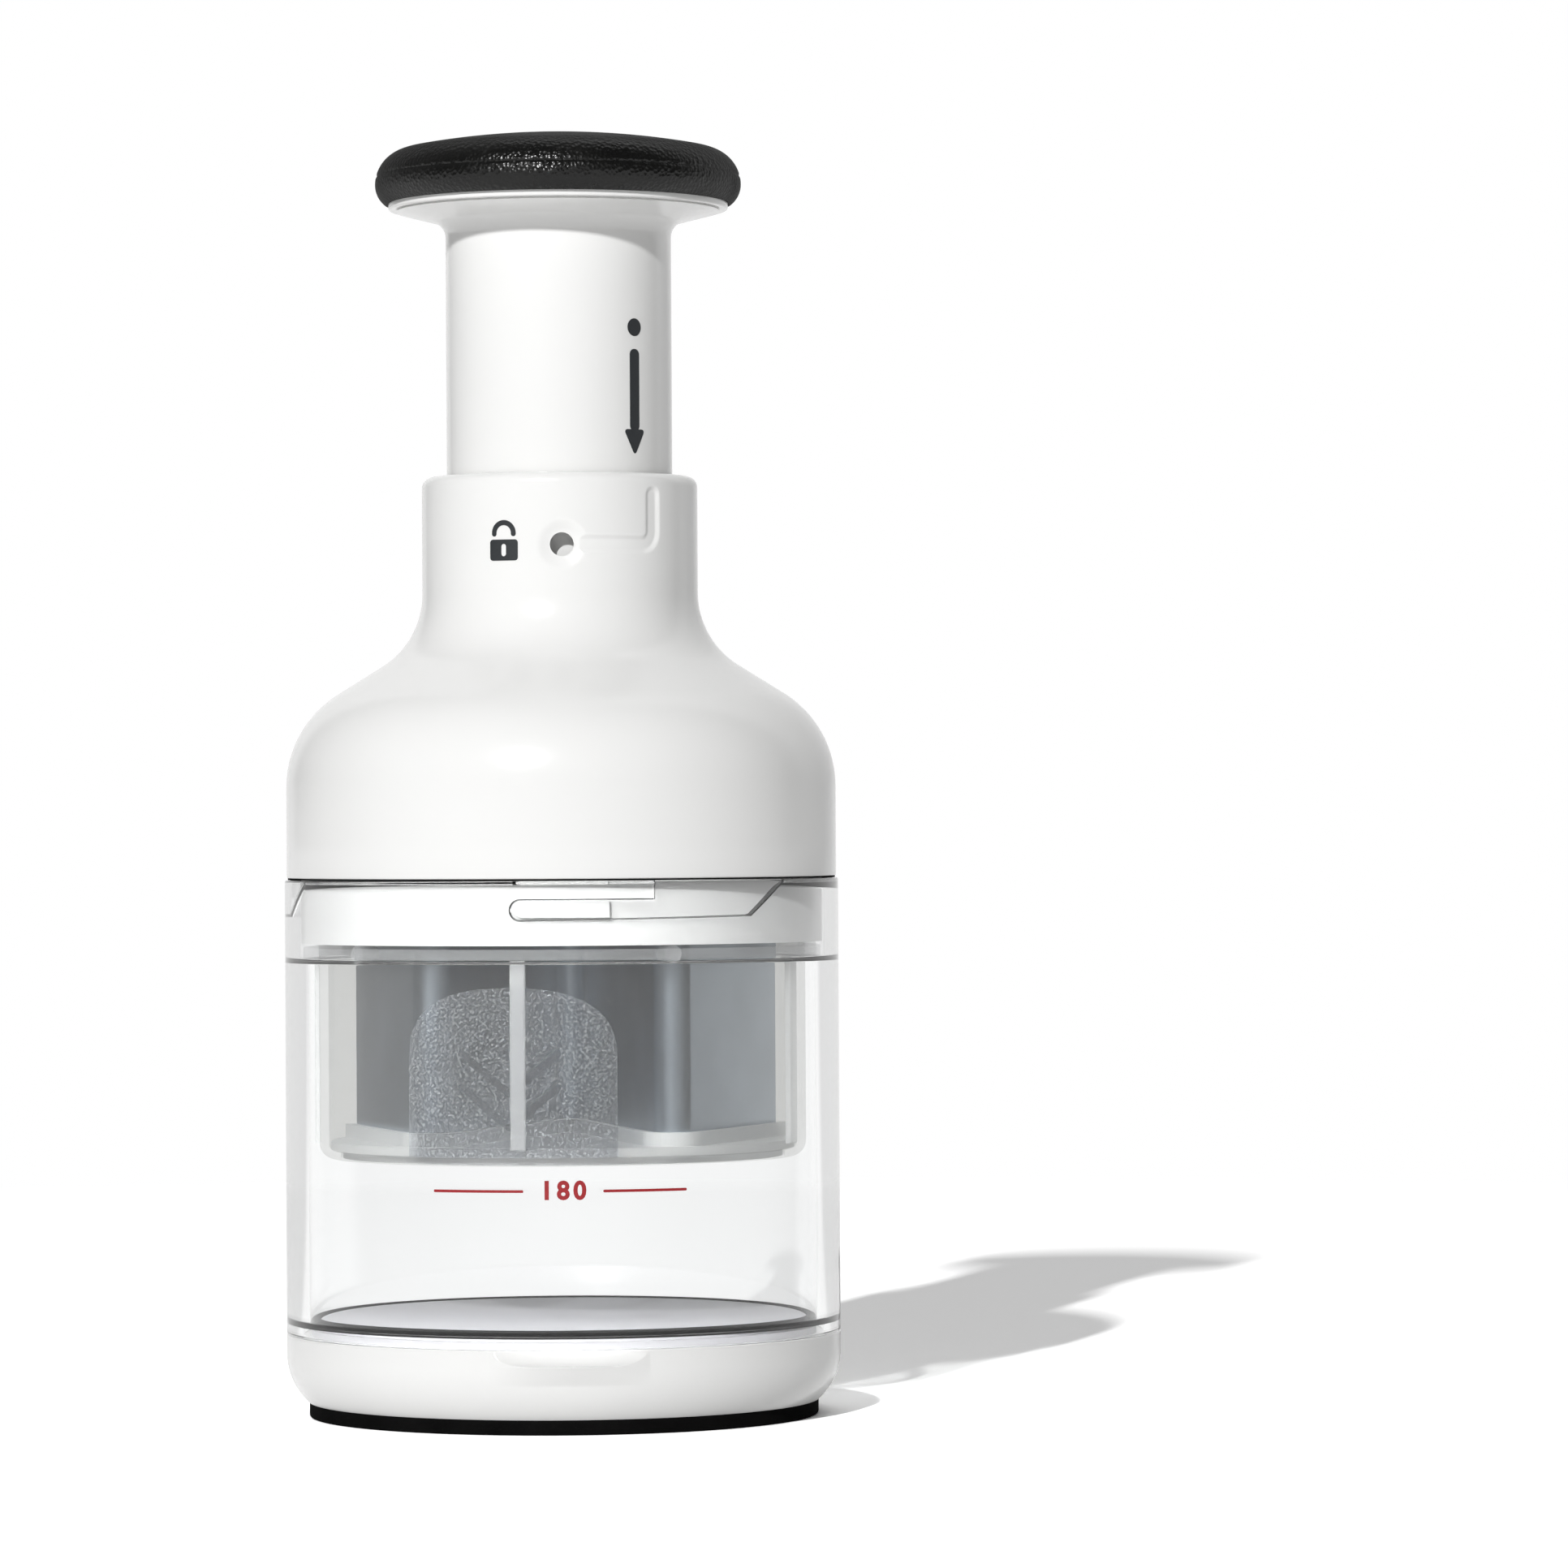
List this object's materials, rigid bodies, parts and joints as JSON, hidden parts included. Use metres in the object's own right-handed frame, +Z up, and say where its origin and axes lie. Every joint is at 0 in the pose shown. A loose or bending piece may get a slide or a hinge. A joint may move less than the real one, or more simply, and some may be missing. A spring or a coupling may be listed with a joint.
{
  "type": "plunger food chopper",
  "caption": "Press-down food chopper: knob and tube push an indexing W-shaped blade through a wiper plate into a clear cup on a pull-off base.",
  "frame": {"origin": "centre of the foot pad's bottom face, on the table", "axes": "+Z up along the plunger, -Y towards the lock window and the thumb ledge, +X to the right seen from the front"},
  "size_m": [0.104, 0.1056, 0.2405],
  "materials": {
    "white_plastic": "moulded white plastic, polished",
    "inner_plastic": "white plastic, as moulded",
    "bearing_plastic": "low-friction plastic, satin",
    "board_plastic": "fine texture",
    "clear_plastic": "clear, polished, thick wall",
    "shield_plastic": "translucent, satin",
    "wiper_plastic": "milky translucent, satin",
    "knob_rubber": "soft black rubber with fine grain",
    "foot_rubber": "black rubber, matte",
    "blade_steel": "stainless strip, brushed along its length",
    "screw_steel": "zinc plated",
    "spring_steel": "drawn spring wire"
  },
  "bodies": {
    "base": {"foot_pad": "foot_rubber", "base_shell": "white_plastic", "chopping_board": "board_plastic"},
    "cup": {"cup": "clear_plastic"},
    "housing": {"housing_shell": "white_plastic", "inner_frame": "inner_plastic", "cam_pins": "screw_steel", "guide_bush": "bearing_plastic", "spring_washer": "screw_steel", "return_spring": "spring_steel", "blade_shield": "shield_plastic"},
    "wiper": {"wiper_plate": "wiper_plastic"},
    "carriage": {"plunger_carriage": "bearing_plastic"},
    "knob": {"plunger_tube": "white_plastic", "knob_core": "white_plastic", "knob_screws": "screw_steel", "knob_cushion": "knob_rubber"},
    "blade": {"blade_stem": "bearing_plastic", "thrust_washer": "screw_steel", "stem_screw": "screw_steel", "blade_carrier": "inner_plastic", "blade_strip": "blade_steel"}
  },
  "joints": [
    {"name": "cup_lift", "type": "slide", "parent": "base", "child": "cup", "axis": [0, 0, 1], "range_m": [0, 0.06]},
    {"name": "bayonet_twist", "type": "hinge", "parent": "cup", "child": "housing", "pos_m": [0, 0, 0.1], "axis": [0, 0, 1], "range_deg": [0, 31]},
    {"name": "plunger_slide", "type": "slide", "parent": "housing", "child": "carriage", "axis": [0, 0, 1], "range_m": [-0.0302, 0], "stiffness_N_per_m": 500, "springref_m": 0.02, "deforming": ["return_spring"]},
    {"name": "knob_turn", "type": "hinge", "parent": "carriage", "child": "knob", "pos_m": [0, 0, 0.2], "axis": [0, 0, 1], "range_deg": [-41, 0]},
    {"name": "blade_turn", "type": "hinge", "parent": "carriage", "child": "blade", "pos_m": [0, 0, 0.1], "axis": [0, 0, 1], "range_deg": [-30.01, 0.01]},
    {"name": "wiper_turn", "type": "hinge", "parent": "housing", "child": "wiper", "pos_m": [0, 0, 0.05], "axis": [0, 0, 1], "range_deg": [-30.01, 0.01]}
  ],
  "couplings": [
    {"joint": "blade_turn", "follows": "plunger_slide", "rad_per_m": 17.338},
    {"joint": "wiper_turn", "follows": "plunger_slide", "rad_per_m": 17.338}
  ]
}
